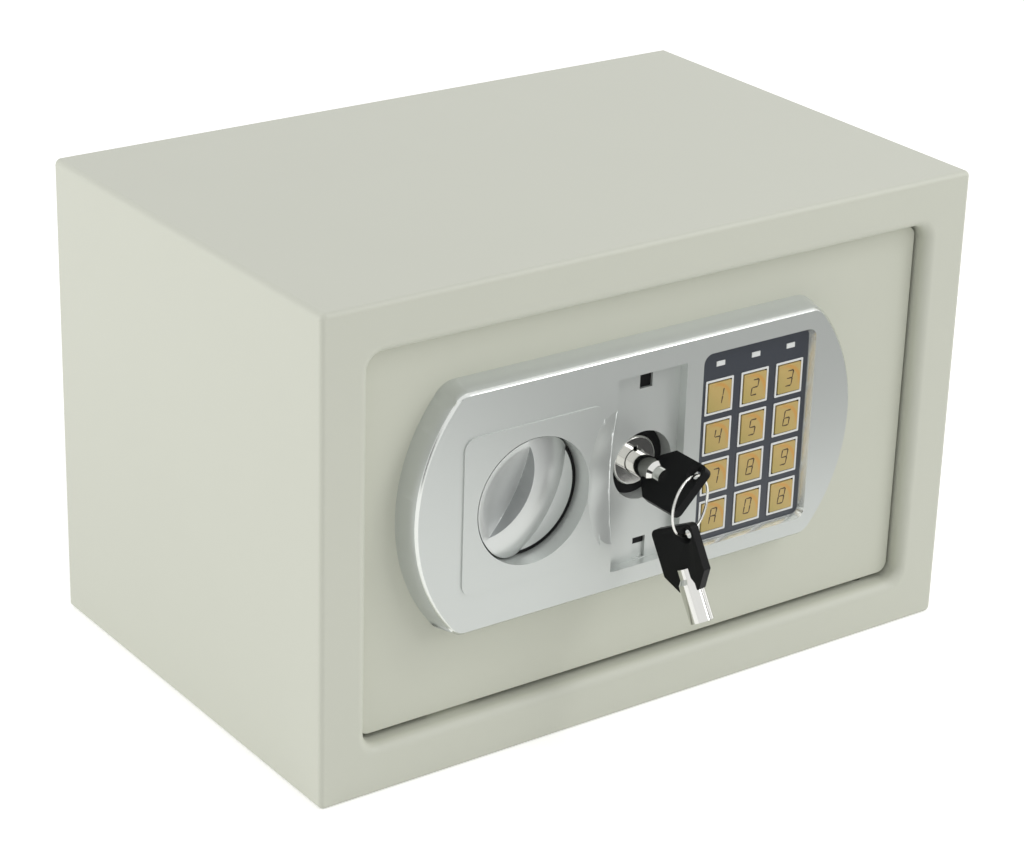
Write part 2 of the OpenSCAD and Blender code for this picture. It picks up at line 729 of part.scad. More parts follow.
module ribbon_cable() color([0.7, 0.7, 0.68]) facing()
    slab(pad_x - ribbon_w / 2, pad_x + ribbon_w / 2, ribbon_z - ribbon_t / 2, ribbon_z + ribbon_t / 2,
        control_board_f + board_t, board_f);

module indicator_lenses() color([0.92, 0.93, 0.92]) facing() for (i = [0 : 2])
    slab(key_x(i) - lens_w / 2, key_x(i) + lens_w / 2,
        pad_z + pad_h / 2 - lens_down - lens_h / 2, pad_z + pad_h / 2 - lens_down + lens_h / 2,
        pad_back_f, pad_f + 0.25);

module keypad_key(i) color(gold) facing() {
    plate(key_x(i), key_z(i), key_w, key_h, 0.5, pad_back_f - fit_gap - key_foot_t, pad_f + key_rise);
    plate(key_x(i), key_z(i), key_w + 2 * key_foot_over, key_h + 2 * key_foot_over, 0.5,
        pad_back_f - fit_gap - key_foot_t, pad_back_f - fit_gap);
}

// ---- lock ----

module lock_body() color(nickel) facing() difference() {
    union() {
        pin(lock_x, control_z, barrel_d / 2, barrel_back_f, door_f);
        pin(lock_x, control_z, lock_flange_d / 2, door_f, lock_front_f - 0.6);
        translate([lock_x, control_z, lock_front_f - 0.6])
            cylinder(h = 0.6, r1 = lock_flange_d / 2, r2 = lock_flange_d / 2 - 0.6);
    }
    pin(lock_x, control_z, keyway_d / 2, keyway_f, lock_front_f + 1);
    pin(lock_x, control_z, rotor_d / 2 + run_gap, barrel_back_f - 1, keyway_f);
    // the key's guide notch
    slab(lock_x - 0.9, lock_x + 0.9, control_z, control_z + keyway_d / 2 + 1, keyway_f + 1, lock_front_f + 1);
}

module lock_nut() color(zinc) facing() difference() {
    translate([lock_x, control_z, door_back_f - nut_t]) cylinder(h = nut_t, r = 13.8, $fn = 6);
    pin(lock_x, control_z, barrel_d / 2, door_back_f - nut_t - 1, door_back_f + 1);
}

module lock_plug() color([0.75, 0.66, 0.45]) facing() {
    pin(lock_x, control_z, rotor_d / 2, barrel_back_f, keyway_f);
    pin(lock_x, control_z, lock_post_d / 2, keyway_f, lock_front_f - 0.3);
}

module lock_tail() color(zinc) facing() {
    pin(lock_x, control_z, cam_r + cam_pin_d / 2, barrel_back_f - tail_t, barrel_back_f);
    pin(lock_x - cam_r * sin(cam_lean), control_z + cam_r * cos(cam_lean), cam_pin_d / 2,
        lift_f - lift_t - 1, barrel_back_f - tail_t);
}

// ---- keys ----

// A key with its shoulder's start at the origin, its bow towards +y and its tube towards -y
module bow_form() difference() {
    translate([0, 0, -bow_t / 2]) linear_extrude(bow_t) {
        polygon([[-key_tube_d / 2 - 0.6, 0], [key_tube_d / 2 + 0.6, 0], [bow_w / 2, shoulder_l],
            [bow_w / 2, bow_l - bow_r], [bow_w / 2 - bow_r, bow_l], [-bow_w / 2 + bow_r, bow_l],
            [-bow_w / 2, bow_l - bow_r], [-bow_w / 2, shoulder_l]]);
        for (s = [-1, 1]) translate([s * (bow_w / 2 - bow_r), bow_l - bow_r]) circle(bow_r);
    }
    rotate([-90, 0, 0]) {
        translate([0, 0, -1]) cylinder(h = shoulder_l + 3, d = key_tube_bore);
        translate([0, 0, -1]) cylinder(h = collar_l + 1, d = key_tube_d);
        translate([0, 0, collar_l]) cylinder(h = collar_cone_l, d1 = key_tube_d, d2 = key_tube_bore);
    }
    flare = bow_t / 2 * tan(hole_flare);
    for (s = [0, 180]) translate([hole_u, hole_v, 0]) rotate([s, 0, 0])
        cylinder(h = bow_t / 2 + 0.01, r1 = hole_neck_d / 2, r2 = hole_neck_d / 2 + flare);
}

module tube_form(outside) rotate([90, 0, 0]) difference() {
    union() {
        // shank in the bow, its cone and collar, and the tube
        translate([0, 0, -shoulder_l - 2]) cylinder(h = shoulder_l + 2, d = key_tube_bore);
        translate([0, 0, -collar_l - collar_cone_l]) cylinder(h = collar_cone_l, d1 = key_tube_bore, d2 = key_tube_d);
        translate([0, 0, -collar_l]) cylinder(h = collar_l, d = key_tube_d);
        cylinder(h = outside, d = key_tube_d);
    }
    translate([0, 0, outside - 8]) cylinder(h = 9, d = key_tube_bore);
}

module place_key() facing() translate([lock_x, control_z, bow_f]) rotate([90, 0, 0]) rotate([0, key_lean, 0]) children();

module place_spare() translate(spare_hole) rotate([0, 0, spare_yaw]) rotate([90, 0, 0])
    rotate([0, 0, spare_lean]) translate([-hole_u, -hole_v, 0]) children();

module key_bow() color(black) place_key() bow_form();
module key_tube() color(nickel) place_key() tube_form(key_gap + key_depth);
module spare_key_bow() color(black) place_spare() bow_form();
module spare_key_tube() color(nickel) place_spare() tube_form(spare_tube_l);

module key_ring() color(nickel) translate(ring_mid) rotate([0, 0, ring_yaw]) rotate([90, 0, 0])
    rotate_extrude() translate([ring_r, 0]) circle(wire_d / 2, $fn = 24);

// ---- knob and bolt work ----

// Everything on the left of the grip's wall
module wall_cone(f0, f1) {
    translate([crest_u, 0, disc_f]) cylinder(h = wall_rise, r1 = crest_r - wall_draft, r2 = crest_r);
    translate([crest_u, 0, f0]) cylinder(h = disc_f - f0, r = crest_r - wall_draft);
    translate([crest_u, 0, rim_f]) cylinder(h = f1 - rim_f, r = crest_r);
}

module knob() color(silver) facing() {
    translate([knob_x, control_z, 0]) rotate([0, 0, -grip_lean]) {
        pin(0, 0, knob_r - 0.4, knob_back_f, disc_f);
        // convex slope of the grip, right of its wall
        difference() {
            intersection() {
                pin(0, 0, knob_r - 0.4, knob_back_f, rim_f);
                translate([slope_u, 0, disc_f]) rotate_extrude($fn = 180) intersection() {
                    translate([0, -1]) square([slope_foot_r, slope_rise + 1]);
                    union() {
                        translate([slope_flat_r, slope_rise - slope_r]) circle(slope_r, $fn = 180);
                        translate([0, -1]) square([slope_flat_r, slope_rise + 1]);
                    }
                }
            }
            wall_cone(disc_f - 2, rim_f + 1);
        }
        // finger scoop left of the wall, eased towards its rim
        intersection() {
            wall_cone(knob_back_f - 1, rim_f + 1);
            difference() {
                pin(0, 0, knob_r, knob_back_f, rim_f);
                translate([0, 0, rim_f - dish_t + dish_r]) sphere(dish_r, $fn = 180);
                translate([0, 0, rim_f + ease_r * cos(ease_lean)]) sphere(ease_r, $fn = 180);
            }
        }
    }
    pin(knob_x, control_z, shaft_d / 2, crank_f, knob_back_f + 1);
}

module knob_crank() color(zinc) facing() {
    difference() {
        pin(knob_x, control_z, crank_r + crank_pin_d / 2 + 1.2, crank_f, crank_f + 3.7);
        pin(knob_x, control_z, shaft_d / 2, crank_f - 1, crank_f + 5);
    }
    pin(crank_pin_x, crank_pin_z, crank_pin_d / 2, plate_f - 0.8, crank_f);
}

// A slot along x whose ends are round
module long_slot(x0, x1, z, r, f0, f1) {
    pin(x0, z, r, f0, f1);
    pin(x1, z, r, f0, f1);
    slab(x0, x1, z - r, z + r, f0, f1);
}

module bolt_plate() color(zinc) facing() {
    half = bolt_tab_h / 2;
    difference() {
        union() {
            slab(plate_left, plate_right, bolt_low_z - half, bolt_low_z + bolt_gap + half, plate_f, plate_f + plate_t);
            slab(plate_right - 1, block_right, arm_low_z, arm_low_z + arm_h, plate_f, plate_f + plate_t);
        }
        // the crank pin's upright slot
        slot_r = crank_pin_d / 2 + crank_swing;
        low_z = crank_pin_z;
        high_z = control_z + crank_r;
        pin(crank_pin_x, low_z, slot_r, plate_f - 1, plate_f + plate_t + 1);
        pin(crank_pin_x, high_z, slot_r, plate_f - 1, plate_f + plate_t + 1);
        slab(crank_pin_x - slot_r, crank_pin_x + slot_r, low_z, high_z, plate_f - 1, plate_f + plate_t + 1);
        for (z = [slide_low_z, slide_high_z])
            long_slot(screw_x, screw_x + bolt_travel, z, shoulder_d / 2 + fit_gap, plate_f - 1, plate_f + plate_t + 1);
        for (s = [0.2, 0.8]) pin(plate_right - 9, bolt_low_z + s * bolt_gap, 5, plate_f - 1, plate_f + plate_t + 1);
    }
    // bent tabs that carry the bolts
    for (i = [0, 1]) difference() {
        slab(bolt_tab_x, bolt_tab_x + plate_t, bolt_low_z + i * bolt_gap - half, bolt_low_z + i * bolt_gap + half,
            bolt_f - half, plate_f + 0.1);
        translate([bolt_tab_x - 1, bolt_low_z + i * bolt_gap, bolt_f]) rotate([0, 90, 0])
            cylinder(h = plate_t + 2, d = bolt_d / 2);
    }
    // block that the plunger drops behind
    slab(block_right - 8.8, block_right, arm_low_z + arm_h - 1, block_top_z, plunger_f - plunger_d / 2 - 1, plate_f + plate_t);
}

module locking_bolts() color(nickel) facing() for (i = [0, 1])
    translate([bolt_end, bolt_low_z + i * bolt_gap, bolt_f]) rotate([0, 90, 0]) {
        nose = 1.5;
        cylinder(h = nose, r1 = bolt_d / 2 - nose, r2 = bolt_d / 2);
        translate([0, 0, nose]) cylinder(h = bolt_tab_x - bolt_end - nose, d = bolt_d);
        translate([0, 0, bolt_tab_x - bolt_end]) cylinder(h = plate_t, d = bolt_d / 2);
        translate([0, 0, bolt_tab_x - bolt_end + plate_t]) cylinder(h = 1.5, r1 = 5, r2 = 3.5);
    }

module bolt_guide() color(zinc) facing() {
    low = bolt_low_z - bolt_d / 2 - 5;
    high = bolt_low_z + bolt_gap + bolt_d / 2 + 5;
    difference() {
        slab(guide_x, guide_x + plate_t, low, high, bolt_f - bolt_d / 2 - 2, door_back_f);
        for (i = [0, 1]) translate([guide_x - 1, bolt_low_z + i * bolt_gap, bolt_f]) rotate([0, 90, 0])
            cylinder(h = plate_t + 2, d = bolt_d + 2 * run_gap);
        slab(guide_x - 1, guide_x + plate_t + 1, control_z - 22, control_z + 6,
            bolt_f - bolt_d, door_back_f - 8);
    }
    difference() {
        slab(guide_x + plate_t, guide_x + 12, control_z - 20, control_z + 20, door_back_f - plate_t, door_back_f);
        for (s = [-1, 1]) pin(guide_x + 7.5, control_z + s * 14, 2, door_back_f - plate_t - 1, door_back_f + 1);
    }
}

module slide_screws() color(nickel) facing() for (z = [slide_low_z, slide_high_z]) {
    pin(screw_x, z, 2, door_back_f, door_f - 0.5);
    pin(screw_x, z, shoulder_d / 2, plate_f - fit_gap, door_back_f);
    difference() {
        pin(screw_x, z, shoulder_d / 2 + 2, plate_f - fit_gap - 2, plate_f - fit_gap);
        slab(screw_x - 6, screw_x + 6, z - 0.5, z + 0.5, plate_f - 4, plate_f - fit_gap - 1);
    }
}

// ---- solenoid and override ----

module solenoid_frame() color(zinc) facing() {
    half = coil_d / 2 + 1;
    high_z = coil_low_z + arm_t + coil_h;
    slab(plunger_x - half, plunger_x + half, coil_low_z - 2, high_z + arm_t + 2, door_back_f - arm_t, door_back_f);
    difference() {
        for (z = [coil_low_z, high_z])
            slab(plunger_x - half, plunger_x + half, z, z + arm_t, plunger_f - half, door_back_f - arm_t);
        translate([plunger_x, coil_low_z - 1, plunger_f]) rotate([-90, 0, 0])
            cylinder(h = arm_t + 2, d = plunger_d + 2 * fit_gap);
    }
}

module solenoid_coil() color([0.62, 0.3, 0.12]) facing()
    translate([plunger_x, coil_low_z + arm_t, plunger_f]) rotate([-90, 0, 0]) difference() {
        union() {
            cylinder(h = coil_h, d = coil_d - 3);
            for (z = [0, coil_h - 1.5]) translate([0, 0, z]) cylinder(h = 1.5, d = coil_d);
        }
        translate([0, 0, -1]) cylinder(h = coil_h + 2, d = plunger_d + 2 * fit_gap);
    }

module solenoid_plunger() color(nickel) facing()
    translate([plunger_x, plunger_low_z, plunger_f]) rotate([-90, 0, 0])
        cylinder(h = coil_low_z + 0.8 * coil_h - plunger_low_z, d = plunger_d);

module lift_plate() color(zinc) facing() {
    pin_x = lock_x - cam_r * sin(cam_lean);
    pin_z = control_z + cam_r * cos(cam_lean);
    slot_r = cam_pin_d / 2 + fit_gap;
    left = plunger_x - plunger_d / 2 - 3;
    difference() {
        slab(left, lock_x + 3, control_z - 5, pin_z + 7, lift_f - lift_t, lift_f);
        long_slot(lock_x - cam_r - 0.2, pin_x + 0.2, pin_z, slot_r, lift_f - lift_t - 1, lift_f + 1);
    }
    difference() {
        slab(left, plunger_x + plunger_d / 2 + 3, lift_tab_z, lift_tab_z + 2, lift_f - 0.1,
            plunger_f + plunger_d / 2 + 2);
        translate([plunger_x, lift_tab_z - 1, plunger_f]) rotate([-90, 0, 0]) cylinder(h = 4, d = plunger_d);
    }
}

// A closed tube along a helix, made of rings of points
spring_turns = 5;
spring_steps = 16;
spring_wire = 0.8;
spring_r = plunger_d / 2 + 0.9;
spring_low = lift_tab_z + 2;
spring_high = coil_low_z;
spring_rise = spring_high - spring_low - spring_wire;
spring_sides = 6;
function spring_point(i, k) =
    let (t = i / (spring_turns * spring_steps), a = 360 * spring_turns * t, b = 360 * k / spring_sides,
        r = spring_r + spring_wire / 2 * cos(b))
    [r * cos(a), r * sin(a), spring_wire / 2 + spring_rise * t + spring_wire / 2 * sin(b)];

module plunger_spring() color(nickel) translate([plunger_x, -plunger_f, spring_low]) {
    rings = spring_turns * spring_steps;
    n = spring_sides;
    points = [for (i = [0 : rings], k = [0 : n - 1]) spring_point(i, k)];
    sides = [for (i = [0 : rings - 1], k = [0 : n - 1], h = [0, 1])
        let (a = i * n + k, b = i * n + (k + 1) % n) h == 0 ? [a, b, b + n] : [a, b + n, a + n]];
    ends = [for (k = [1 : n - 2], h = [0, 1]) h == 0 ? [0, k + 1, k] : [rings * n, rings * n + k, rings * n + k + 1]];
    polyhedron(points, concat(sides, ends));
}

// ---- electronics behind the door ----

module control_board() {
    color([0.1, 0.32, 0.2]) facing() {
        slab(control_left, control_right, control_low_z, control_high_z, control_board_f, control_board_f + board_t);
        for (x = [control_left + 4, control_right - 4], z = [control_low_z + 4, control_high_z - 4])
            pin(x, z, 2, control_board_f + board_t, door_back_f);
        chip_w = 14;
        sounder_x = control_left + 20;
        sounder_z = control_high_z - 18;
        pin(sounder_x, sounder_z, 6.5, control_board_f - 9, control_board_f);
        slab(chip_x, chip_x + chip_w, chip_z, chip_z + chip_w, control_board_f - 2, control_board_f);
        // switch under the reset button
        slab(reset_x - 3, reset_x + 3, reset_z - 3, reset_z + 3, control_board_f - 4, control_board_f);
    }
}

module battery_box() color(black) facing() difference() {
    w = cell_l + 4;
    h = 4 * cell_pitch + 1;
    back_f = cover_f + cover_t + fit_gap;
    slab(cell_x - w / 2 - box_t, cell_x + w / 2 + box_t, hatch_z - h / 2 - box_t, hatch_z + h / 2 + box_t,
        back_f, door_back_f);
    slab(cell_x - w / 2, cell_x + w / 2, hatch_z - h / 2, hatch_z + h / 2, back_f - 1, cell_f + cell_d / 2);
    slab(cell_x - w / 2, cell_x + w / 2, hatch_z - h / 2, hatch_z + h / 2, cell_f + cell_d / 2 + box_t,
        door_back_f + 1);
}

module batteries() color([0.55, 0.57, 0.6]) facing() for (i = [0 : 3])
    translate([cell_x - cell_l / 2, cell_low_z + i * cell_pitch, cell_f]) rotate([0, 90, 0])
        rotate([0, i % 2 * 180, 0]) translate([0, 0, i % 2 * -cell_l]) {
            cylinder(h = cell_l - 1, d = cell_d - 0.2);
            translate([0, 0, cell_l - 1]) cylinder(h = 1, d = 5.5);
        }

module battery_cover() color(black) facing() {
    slab(cell_x - hatch_w / 2 + fit_gap, cell_x + hatch_w / 2 - fit_gap, hatch_z - hatch_h / 2 + fit_gap,
        hatch_z + hatch_h / 2 - fit_gap, cover_f, cover_f + cover_t);
    // grip ridges
    for (i = [-2 : 2]) slab(cell_x - 10, cell_x + 10, hatch_z + hatch_h / 2 - 12 + i * 2.4 - 0.6,
        hatch_z + hatch_h / 2 - 12 + i * 2.4 + 0.6, cover_f - 0.8, cover_f);
}

module reset_button() color([0.75, 0.1, 0.08]) facing() {
    pin(reset_x, reset_z, reset_d / 2, cover_f - 1.2, cover_f + cover_t + fit_gap);
    pin(reset_x, reset_z, reset_d / 2 + 1.2, cover_f + cover_t + fit_gap, cover_f + cover_t + fit_gap + 1);
    pin(reset_x, reset_z, 1.5, cover_f + cover_t + fit_gap + 1, control_board_f - 4 - 1.3);
}

body_wrap();
front_frame();
back_panel();
floor_mat();
door_stops();
hinge_brackets();
door_plate();
hinge_knuckles();
hinge_pins();
inner_cover();
cover_screws();
fascia();
fascia_screws();
keypad_panel();
key_frames();
keypad_board();
ribbon_cable();
indicator_lenses();
lock_body();
lock_nut();
bolt_guide();
slide_screws();
solenoid_frame();
solenoid_coil();
control_board();
battery_box();
batteries();
knob();
knob_crank();
bolt_plate();
locking_bolts();
lock_plug();
lock_tail();
key_tube();
key_bow();
key_ring();
spare_key_tube();
spare_key_bow();
solenoid_plunger();
lift_plate();
plunger_spring();
for (i = [0 : len(key_names) - 1]) keypad_key(i);
battery_cover();
reset_button();
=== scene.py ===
import json
import math

import bmesh
import bpy
from mathutils import Matrix, Vector


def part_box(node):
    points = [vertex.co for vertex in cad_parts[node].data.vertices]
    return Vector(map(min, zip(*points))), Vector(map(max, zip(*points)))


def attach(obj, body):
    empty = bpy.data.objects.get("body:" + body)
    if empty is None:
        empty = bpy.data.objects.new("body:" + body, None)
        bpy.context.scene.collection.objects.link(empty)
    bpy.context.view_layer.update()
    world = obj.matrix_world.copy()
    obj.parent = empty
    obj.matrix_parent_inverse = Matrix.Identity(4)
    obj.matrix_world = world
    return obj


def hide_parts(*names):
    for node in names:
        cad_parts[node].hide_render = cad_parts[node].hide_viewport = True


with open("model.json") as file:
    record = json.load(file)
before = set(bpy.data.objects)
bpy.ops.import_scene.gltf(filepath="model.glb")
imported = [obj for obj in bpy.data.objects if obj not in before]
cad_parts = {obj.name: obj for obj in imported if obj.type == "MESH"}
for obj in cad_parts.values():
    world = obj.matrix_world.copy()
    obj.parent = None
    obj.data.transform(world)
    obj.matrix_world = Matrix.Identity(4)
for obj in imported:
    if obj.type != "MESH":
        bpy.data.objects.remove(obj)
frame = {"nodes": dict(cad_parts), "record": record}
nodes = frame["nodes"]
bodyOf = {name: body for body, names in frame["record"]["behaviour"]["bodies"].items() for name in names}
slotOf = {part["node"]: part["material_slot"] for part in frame["record"]["subparts"]}
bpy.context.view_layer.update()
mm = 0.001
print("frame loaded:", len(nodes), "nodes")


view = {
    "place": (-663.898, -912.852, 576.29),  # millimetres
    "aim": (-71.498, -100.0, 140.781),
    "roll": 1.751,  # degrees, turned against the clock as seen from behind the camera
    "lens": 103.66,
    "sensor": 36.0,
    "clip": (0.01, 50.0),  # metres
}
studio = {
    "worldLight": 0.58,
    "lamps": [  # place and aim in metres, size, watts
        ("sideLamp", (-1.9, 0.7, 0.7), (0.0, 0.0, 0.1), 1.2, 15.0),
        ("topLamp", (0.3, 0.4, 1.9), (0.0, 0.0, 0.2), 1.2, 1.0),
        ("frontLamp", (1.4, -1.5, 1.1), (0.0, -0.1, 0.1), 1.4, 13.0),
        ("edgeLamp", (0.8, -0.7, 1.22), (0.0, -0.1, 0.15), 0.3, 2.5),
    ],
    "floorColor": (246, 246, 244),
    "floorGlow": 0.42,
    "floorSize": 12.0,
    "cards": [  # dark cards that only reflections see: middle and aim in metres, width, height
        ("frontCard", (0.56, -0.62, 0.002), (0.56, -0.62, 1.0), 0.94, 0.72),
        ("sideCard", (0.85, -0.85, 0.5), (0.0, -0.1, 0.1), 0.3, 0.8),
        ("leftCard", (-1.25, -0.5, 0.35), (0.0, -0.1, 0.1), 0.22, 0.6),
        ("backCard", (-1.39, 0.27, 0.68), (-0.06, -0.1, 0.1), 1.0, 1.0),
        ("highCard", (-0.1, -1.0, 1.3), (0.0, -0.1, 0.1), 0.9, 0.25),
    ],
    "cardColor": (0.03, 0.03, 0.03, 1.0),
    "cardRoughness": 0.9,
}
white = (1.0, 1.0, 1.0, 1.0)


def linear(red, green, blue):
    # a colour as seen on screen, 0 to 255, as scene values
    parts = [c / 255 for c in (red, green, blue)]
    return tuple(p / 12.92 if p <= 0.04045 else ((p + 0.055) / 1.055) ** 2.4 for p in parts)


def facing(place, aim, front="-Z"):
    # a place, with the front axis turned to the aim
    turn = (Vector(aim) - Vector(place)).to_track_quat(front, "Y").to_matrix().to_4x4()
    return Matrix.Translation(place) @ turn


def newObject(name, data):
    made = bpy.data.objects.new(name, data)
    bpy.context.scene.collection.objects.link(made)
    return made


def newMesh(name, shape):
    mesh = bpy.data.meshes.new(name)
    shape.to_mesh(mesh)
    shape.free()
    return mesh


def feed(tree, value, socket):
    # a fixed number or what another node gives
    if isinstance(value, (int, float)):
        socket.default_value = value
    else:
        tree.links.new(value, socket)


def addMath(tree, operation, first, second):
    node = tree.nodes.new("ShaderNodeMath")
    node.operation = operation
    feed(tree, first, node.inputs[0])
    feed(tree, second, node.inputs[1])
    return node.outputs[0]


def placeCamera():
    camera = newObject("camera", bpy.data.cameras.new("camera"))
    place = Vector(view["place"]) * mm
    aim = Vector(view["aim"]) * mm
    camera.matrix_world = facing(place, aim) @ Matrix.Rotation(math.radians(view["roll"]), 4, "Z")
    camera.data.lens = view["lens"]
    camera.data.sensor_width = view["sensor"]
    camera.data.clip_start, camera.data.clip_end = view["clip"]
    bpy.context.scene.camera = camera


def backgroundMask(tree):
    # 1 for the camera, mirrors and glass, 0 for the light that falls on the part
    rays = tree.nodes.new("ShaderNodeLightPath").outputs
    mirrored = addMath(tree, "MAXIMUM", rays["Is Camera Ray"], rays["Is Glossy Ray"])
    return addMath(tree, "MAXIMUM", mirrored, rays["Is Transmission Ray"])


def lightStudio():
    world = bpy.data.worlds.new("studio")
    bpy.context.scene.world = world
    world.use_nodes = True
    tree = world.node_tree
    tree.nodes.clear()
    lit = tree.nodes.new("ShaderNodeBackground")
    lit.inputs["Strength"].default_value = studio["worldLight"]
    lit.inputs["Color"].default_value = white
    seen = tree.nodes.new("ShaderNodeBackground")
    seen.inputs["Color"].default_value = white
    mix = tree.nodes.new("ShaderNodeMixShader")
    out = tree.nodes.new("ShaderNodeOutputWorld")
    tree.links.new(backgroundMask(tree), mix.inputs["Fac"])
    tree.links.new(lit.outputs[0], mix.inputs[1])
    tree.links.new(seen.outputs[0], mix.inputs[2])
    tree.links.new(mix.outputs[0], out.inputs["Surface"])
    for name, place, aim, size, watts in studio["lamps"]:
        light = bpy.data.lights.new(name, "AREA")
        light.size = size
        light.energy = watts
        newObject(name, light).matrix_world = facing(place, aim)
    bpy.context.scene.view_settings.view_transform = "Standard"


def layFloor():
    shape = bmesh.new()
    bmesh.ops.create_grid(shape, x_segments=1, y_segments=1, size=studio["floorSize"])
    floor = newObject("floor", newMesh("floor", shape))
    material = bpy.data.materials.new("floorPaper")
    material.use_nodes = True
    tree = material.node_tree
    tree.nodes.clear()
    paper = tree.nodes.new("ShaderNodeBsdfDiffuse")
    paper.inputs["Color"].default_value = (*linear(*studio["floorColor"]), 1.0)
    glow = tree.nodes.new("ShaderNodeEmission")
    glow.inputs["Strength"].default_value = studio["floorGlow"]
    both = tree.nodes.new("ShaderNodeAddShader")
    mix = tree.nodes.new("ShaderNodeMixShader")
    out = tree.nodes.new("ShaderNodeOutputMaterial")
    tree.links.new(paper.outputs[0], both.inputs[0])
    tree.links.new(glow.outputs[0], both.inputs[1])
    tree.links.new(backgroundMask(tree), mix.inputs["Fac"])
    tree.links.new(paper.outputs[0], mix.inputs[1])
    tree.links.new(both.outputs[0], mix.inputs[2])
    tree.links.new(mix.outputs[0], out.inputs["Surface"])
    floor.data.materials.append(material)


def layCard(name, middle, aim, width, height):
    # gives metal and satin plastic something dark to reflect
    shape = bmesh.new()
    bmesh.ops.create_grid(shape, x_segments=1, y_segments=1, size=0.5)
    place = facing(middle, aim, "Z") @ Matrix.Diagonal((width, height, 1.0, 1.0))
    bmesh.ops.transform(shape, matrix=place, verts=shape.verts)
    card = newObject(name, newMesh(name, shape))
    material = bpy.data.materials.new(name + "Paper")
    material.use_nodes = True
    shader = material.node_tree.nodes["Principled BSDF"]
    shader.inputs["Base Color"].default_value = studio["cardColor"]
    shader.inputs["Roughness"].default_value = studio["cardRoughness"]
    card.data.materials.append(material)
    card.visible_camera = False
    card.visible_diffuse = False
    card.visible_shadow = False
    card.visible_transmission = False


placeCamera()
lightStudio()
layFloor()
for card in studio["cards"]:
    layCard(*card)
print("camera, lamps and floor set")


noiseLook = {  # scale and detail of the noise under the finishes
    "skinMottle": (22.0, 3.0),
    "lineMottle": (35.0, 2.0),
    "grainDetail": 2.0,
    "lineDetail": 3.0,
}


def newGroup(name, inputs, outputs):
    group = bpy.data.node_groups.new(name, "ShaderNodeTree")
    for label, kind, value in inputs:
        socket = group.interface.new_socket(name=label, in_out="INPUT", socket_type="NodeSocket" + kind)
        if value is not None:
            socket.default_value = value
    for label, kind in outputs:
        group.interface.new_socket(name=label, in_out="OUTPUT", socket_type="NodeSocket" + kind)
    return group, group.nodes.new("NodeGroupInput"), group.nodes.new("NodeGroupOutput")


def addNoise(tree, vector, scale, detail):
    node = tree.nodes.new("ShaderNodeTexNoise")
    node.inputs["Detail"].default_value = detail
    tree.links.new(vector, node.inputs["Vector"])
    feed(tree, scale, node.inputs["Scale"])
    return node.outputs["Fac"]


def vary(tree, noise, amount, middle):
    # the middle value, raised and lowered by the noise
    swing = addMath(tree, "MULTIPLY", addMath(tree, "SUBTRACT", noise, 0.5), amount)
    return addMath(tree, "ADD", swing, middle)


def shadeColor(tree, color, noise, amount):
    # the colour, made lighter and darker by the noise
    factor = vary(tree, noise, amount, 1.0)
    node = tree.nodes.new("ShaderNodeVectorMath")
    node.operation = "SCALE"
    tree.links.new(color, node.inputs[0])
    tree.links.new(factor, node.inputs["Scale"])
    return node.outputs[0]


def addBump(tree, height, depth):
    node = tree.nodes.new("ShaderNodeBump")
    node.inputs["Distance"].default_value = 1.0
    tree.links.new(addMath(tree, "MULTIPLY", height, depth), node.inputs["Height"])
    return node.outputs["Normal"]


def makeSkinGroup():
    # fine even skin of paint and moulded plastic: broad mottling and a fine texture
    group, start, end = newGroup("fineSkin", [
        ("Vector", "Vector", None), ("Color", "Color", None),
        ("Grain", "Float", 900.0), ("Mottle", "Float", 0.03),
        ("Roughness", "Float", 0.4), ("Spread", "Float", 0.05), ("Depth", "Float", 0.00001)],
        [("Color", "Color"), ("Roughness", "Float"), ("Normal", "Vector")])
    given = start.outputs
    broad = addNoise(group, given["Vector"], *noiseLook["skinMottle"])
    fine = addNoise(group, given["Vector"], given["Grain"], noiseLook["grainDetail"])
    group.links.new(shadeColor(group, given["Color"], broad, given["Mottle"]), end.inputs["Color"])
    group.links.new(vary(group, fine, given["Spread"], given["Roughness"]), end.inputs["Roughness"])
    group.links.new(addBump(group, fine, given["Depth"]), end.inputs["Normal"])
    return group


def makeBrushGroup():
    # fine lines of drawn, ground or turned metal; the stretch squeezes the noise along the lines
    group, start, end = newGroup("drawnLines", [
        ("Vector", "Vector", None), ("Color", "Color", None), ("Stretch", "Vector", (1.0, 1.0, 1.0)),
        ("Shade", "Float", 0.15), ("Roughness", "Float", 0.3), ("Spread", "Float", 0.15),
        ("Depth", "Float", 0.00001)],
        [("Color", "Color"), ("Roughness", "Float"), ("Normal", "Vector")])
    given = start.outputs
    scaled = group.nodes.new("ShaderNodeVectorMath")
    scaled.operation = "MULTIPLY"
    group.links.new(given["Vector"], scaled.inputs[0])
    group.links.new(given["Stretch"], scaled.inputs[1])
    lines = addNoise(group, scaled.outputs[0], 1.0, noiseLook["lineDetail"])
    broad = addNoise(group, given["Vector"], *noiseLook["lineMottle"])
    both = addMath(group, "MULTIPLY", addMath(group, "ADD", lines, broad), 0.5)
    group.links.new(shadeColor(group, given["Color"], both, given["Shade"]), end.inputs["Color"])
    group.links.new(vary(group, lines, given["Spread"], given["Roughness"]), end.inputs["Roughness"])
    group.links.new(addBump(group, lines, given["Depth"]), end.inputs["Normal"])
    return group


